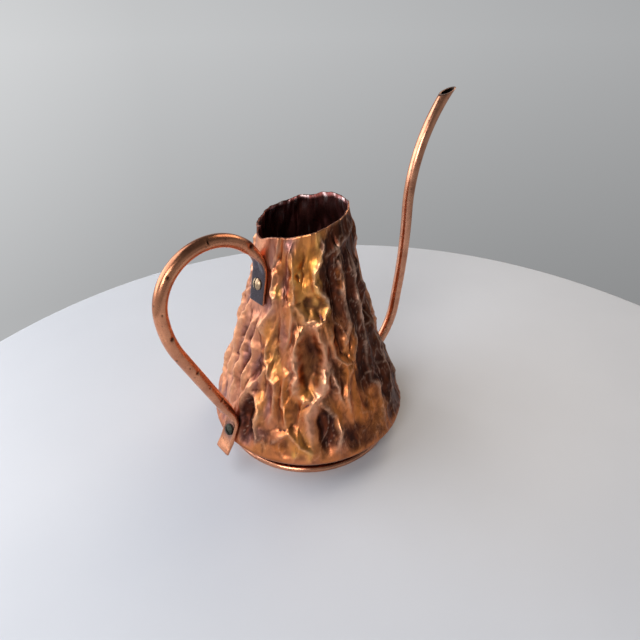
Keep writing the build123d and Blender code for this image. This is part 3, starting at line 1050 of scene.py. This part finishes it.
def handle_route():
    """The handle's centreline from the end of the upper tab to the end of the lower tab."""
    lift = TAB_GAP + TAB_HALF_THICK
    top_at, top_up, top_out = seat(UPPER_SCREW_Z)
    low_at, low_up, low_out = seat(LOWER_SCREW_Z)
    route = Route(top_at + top_out * lift - top_up * UPPER_TAB_BELOW, top_up, HANDLE_STEP)
    route.line(UPPER_TAB_BELOW + UPPER_TAB_ABOVE)
    route.arc(*UPPER_BEND)
    heading = math.degrees(math.atan2(route.directions[-1][1], route.directions[-1][0]))
    route.arc(LOOP_R, 270 - heading)
    route.arc(*LOWER_BEND)
    tab_top = low_at + low_out * lift + low_up * LOWER_TAB_ABOVE
    run = route.directions[-1]
    gap = tab_top - route.points[-1]
    cross = run[0] * low_up[1] - run[1] * low_up[0]
    reach_along = (gap[0] * low_up[1] - gap[1] * low_up[0]) / cross
    corner = route.points[-1] + run * reach_along
    reach = np.linalg.norm(corner - tab_top)
    turn = math.degrees(math.acos(float(np.dot(run, -low_up))))
    route.line(reach_along - reach)
    elbow = reach / math.tan(math.radians(turn / 2))
    route.arc(elbow, -turn)
    route.line(LOWER_TAB_ABOVE + LOWER_TAB_BELOW)
    return route


def upper_slot():
    """A point in the upper screw's slot and the unit direction across the slot."""
    at, up, _ = seat(UPPER_SCREW_Z)
    across = (sin(UPPER_SLOT_TURN) * up[0], -cos(UPPER_SLOT_TURN), sin(UPPER_SLOT_TURN) * up[1])
    return (at[0], 0.0, at[1]), tuple(float(v) for v in across)


# Chisel nicks: share of the way along the handle, side in degrees from +Y towards the loop's open side,
# length along the tube, degrees round it, depth (negative for a burr).
NICKS = [
    (0.166, 200, 1.1, 22, 0.50),
    (0.278, 204, 0.5, 24, 0.50),
    (0.388, 208, 0.7, 12, 0.35),
    (0.470, 190, 0.5, 8, 0.25),
    (0.539, 164, 1.2, 24, 0.45),
    (0.598, 228, 0.6, 12, -0.55),
    (0.640, 188, 0.5, 9, 0.25),
    (0.668, 164, 0.7, 20, 0.45),
    (0.735, 172, 0.5, 9, 0.25),
    (0.799, 160, 0.6, 20, 0.45),
]


def nick(points, path, along):
    """Presses the chisel nicks into the tube's points, and says how dark each point gets."""
    station = np.repeat(along, TUBE_TURNS)
    side = np.tile(TUBE_ANGLES, len(path))
    centre = np.repeat(np.stack([path[:, 0], np.zeros(len(path)), path[:, 1]], 1), TUBE_TURNS, 0)
    dark = np.zeros(len(points))
    for share, at, length, spread, depth in NICKS:
        lengthwise = (station - share * along[-1]) / length
        press = np.exp(-(lengthwise**2) - (angle_from(side, at) / spread) ** 2)
        inward = centre - points
        inward /= np.linalg.norm(inward, axis=1)[:, None]
        points = points + inward * (depth * press)[:, None]
        dark = np.maximum(dark, 0.9 * smooth(0.25, 0.75, press))
    return points, dark


def squashed_rings(path, heading, along, shown):
    """Rings of points round the handle: round in the loop, flat at both ends and folded in between."""
    to_end = along[-1] - along
    squash = 1 - smooth(UPPER_FLAT, UPPER_FLAT + UPPER_EASE, along)
    squash += 1 - smooth(LOWER_FLAT, LOWER_FLAT + LOWER_EASE, to_end)
    curl = 1 - smooth(0.0, LOWER_CURL, to_end)
    phi = TUBE_ANGLES
    points = []
    for k in range(len(path)):
        s = squash[k]
        half_wide = TUBE_R + (TAB_HALF_WIDTH + TAB_SPREAD - TUBE_R) * s
        half_thick = TUBE_R + (TAB_HALF_THICK - TUBE_R) * s
        power = 1 - 0.55 * s
        across = half_wide * np.sign(cos(phi)) * np.abs(cos(phi)) ** power
        out = half_thick * np.sign(sin(phi)) * np.abs(sin(phi)) ** power
        face = smooth(0.0, 0.6, sin(phi) * shown[k])
        # the wide faces dent where the tube is half flat, most of all the face that shows
        fold = 4 * s * (1 - s)
        dent = (0.15 + 0.60 * face) * np.exp(-((across / (0.45 * half_wide)) ** 2))
        out = out * (1 - fold * dent)
        # low ribs run along both edges of the lower tab
        rib = np.exp(-(((np.abs(across) / half_wide - 0.80) / 0.15) ** 2)) * face
        out = out + shown[k] * 0.45 * rib * s * smooth(3.0, 8.0, to_end[k]) * (along[k] > to_end[k])
        left = np.array((-heading[k][1], heading[k][0]))
        for a, o in zip(across, out + shown[k] * curl[k]):
            flat = path[k] + left * o
            points.append((flat[0], a, flat[1]))
    return np.array(points)


def handle_masks(along, shown):
    """From 0 to 1 at each point: the grey on the tabs, a painted reflection on the upper one and scale round
    the lower screw, and a painted shadow line along the tube's edge with painted shade over the top.
    """
    station = np.repeat(along, TUBE_TURNS)
    to_end = along[-1] - station
    side = np.tile(TUBE_ANGLES, len(along))
    face = smooth(0.05, 0.5, sin(side) * np.repeat(shown, TUBE_TURNS))
    aside = np.abs(cos(side))
    # painted reflection: grey-violet over the upper tab's outer face, short of its edges
    upper = (1 - smooth(UPPER_FLAT + 8, UPPER_FLAT + 16, station)) * (1 - 0.8 * smooth(0.86, 0.98, aside))
    from_screw = np.hypot((to_end - LOWER_TAB_BELOW) / 5.5, aside / 0.62)
    lower = 0.80 * (1 - smooth(0.35, 1.35, from_screw)) * (to_end < 30)
    past_flat = station - UPPER_FLAT
    fold_zone = smooth(2, 8, past_flat) * (1 - smooth(18, 26, past_flat))
    # painted shadow: a dark line down the tube's edge where it goes flat
    edge_shadow = np.exp(-((angle_from(side, 224) / 13) ** 2)) * fold_zone
    share = station / along[-1]
    over_the_top = smooth(0.10, 0.18, share) * (1 - smooth(0.36, 0.46, share))
    # painted shade along the top of the loop
    top_shade = np.exp(-((angle_from(side, 250) / 38) ** 2)) * over_the_top
    return np.clip(upper + lower, 0, 1) * face, 0.75 * edge_shadow + 0.45 * top_shade


def make_handle(material):
    """Copper tube squashed flat at both ends, with folds where it goes flat and small chisel nicks."""
    route = handle_route()
    path = np.array(route.points)
    along = path_lengths(path)
    # the open side of the loop shows the upper tab's face, and its outside the lower tab's face
    shown = np.where(along < along[-1] - along, 1.0, -1.0)
    points, nicked = nick(squashed_rings(path, route.directions, along, shown), path, along)
    last = (len(path) - 1) * TUBE_TURNS
    caps = [tuple(reversed(range(TUBE_TURNS))), tuple(range(last, last + TUBE_TURNS))]
    handle = mesh_object("squashed_handle", points * MM, tube_faces(len(path)) + caps, material)
    # scale holds a painted reflection on the upper tab and scale round the lower screw; dark holds the
    # painted shadow line and painted shade over the top
    scale, dark = handle_masks(along, shown)
    put_attribute(handle, "scale", scale)
    put_attribute(handle, "nicks_and_shade", np.clip(dark + nicked, 0, 1))
    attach(handle, "root")
    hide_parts("handle_tube")


# ------ the spout


def make_spout(material):
    """Copper tube with a bore, bent in an S and cut at a slant."""
    route = Route(SPOUT_ROOT, (cos(SPOUT_ROOT_ANGLE), sin(SPOUT_ROOT_ANGLE)), SPOUT_STEP)
    for radius, amount in SPOUT_BENDS:
        if radius:
            route.arc(radius, amount)
        else:
            route.line(amount)
    across_cut = np.array((-sin(SPOUT_CUT_ANGLE), cos(SPOUT_CUT_ANGLE)))
    path = np.array(route.points)
    below_cut = (path - SPOUT_CUT) @ across_cut < 0
    path = path[below_cut]
    heading = np.array(route.directions)[below_cut]
    left = np.stack([-heading[:, 1], heading[:, 0]], 1)
    along = path_lengths(path)
    slant = smooth(along[-1] - SPOUT_CUT_REACH, along[-1], along)

    def skin(radius):
        flat = path[:, None, :] + left[:, None, :] * (radius * sin(TUBE_ANGLES))[None, :, None]
        reach = -((flat[-1] - SPOUT_CUT) @ across_cut) / (heading[-1] @ across_cut)
        flat = flat + heading[:, None, :] * reach[None, :, None] * slant[:, None, None]
        aside = np.broadcast_to(radius * cos(TUBE_ANGLES), flat.shape[:2])
        return np.stack([flat[..., 0], aside, flat[..., 1]], 2).reshape(-1, 3)

    points = np.vstack([skin(TUBE_R), skin(TUBE_R - TUBE_WALL)])
    inner = len(points) // 2
    last = inner - TUBE_TURNS
    faces = tube_faces(len(path)) + tube_faces(len(path), first=inner, inward=True)
    for j in range(TUBE_TURNS):
        beside = (j + 1) % TUBE_TURNS
        faces.append((last + j, last + beside, inner + last + beside, inner + last + j))
        faces.append((j, inner + j, inner + beside, beside))
    spout = mesh_object("bent_spout", points * MM, faces, material)
    tip = np.zeros(inner)
    tip[last:] = 1
    put_attribute(spout, "cut", np.concatenate([0.8 * tip, tip]))
    # painted shade: the bore's inner wall gets the black tone
    put_attribute(spout, "bore", np.concatenate([np.zeros(inner), 1 - tip]))
    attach(spout, "root")
    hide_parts("spout_tube")


# ------ everything together

make_camera()
make_light()
make_floor()
make_body()
make_handle(handle_material())
make_spout(spout_material())

copper_wire = tube_material("copper_wire", (0.70, 0.32, 0.19), (0.34, 0.14, 0.09), (1, 1, 1))
PALE_BRASS = ((0.56, 0.42, 0.28), (0.26, 0.17, 0.10), 0.40, 0.3)
pale_brass = screw_material("pale_brass", *PALE_BRASS)
slotted_brass = screw_material("slotted_brass", *PALE_BRASS, slot=upper_slot())
aged_brass = screw_material("aged_brass", (0.085, 0.095, 0.080), (0.035, 0.038, 0.030), 0.60, 0.5)
solder = solder_material()
FINISHES = [
    (copper_wire, ("foot_ring", "base_disc")),
    (solder, ("base_solder", "foot_solder", "spout_solder")),
    (slotted_brass, ("upper_screw",)),
    (aged_brass, ("lower_screw",)),
    (pale_brass, ("upper_washer", "upper_nut", "lower_washer", "lower_nut")),
    (rubber_material(), ("lower_seal_washer",)),
]
for material, names in FINISHES:
    for name in names:
        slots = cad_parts[name].data.materials
        slots.clear()
        slots.append(material)
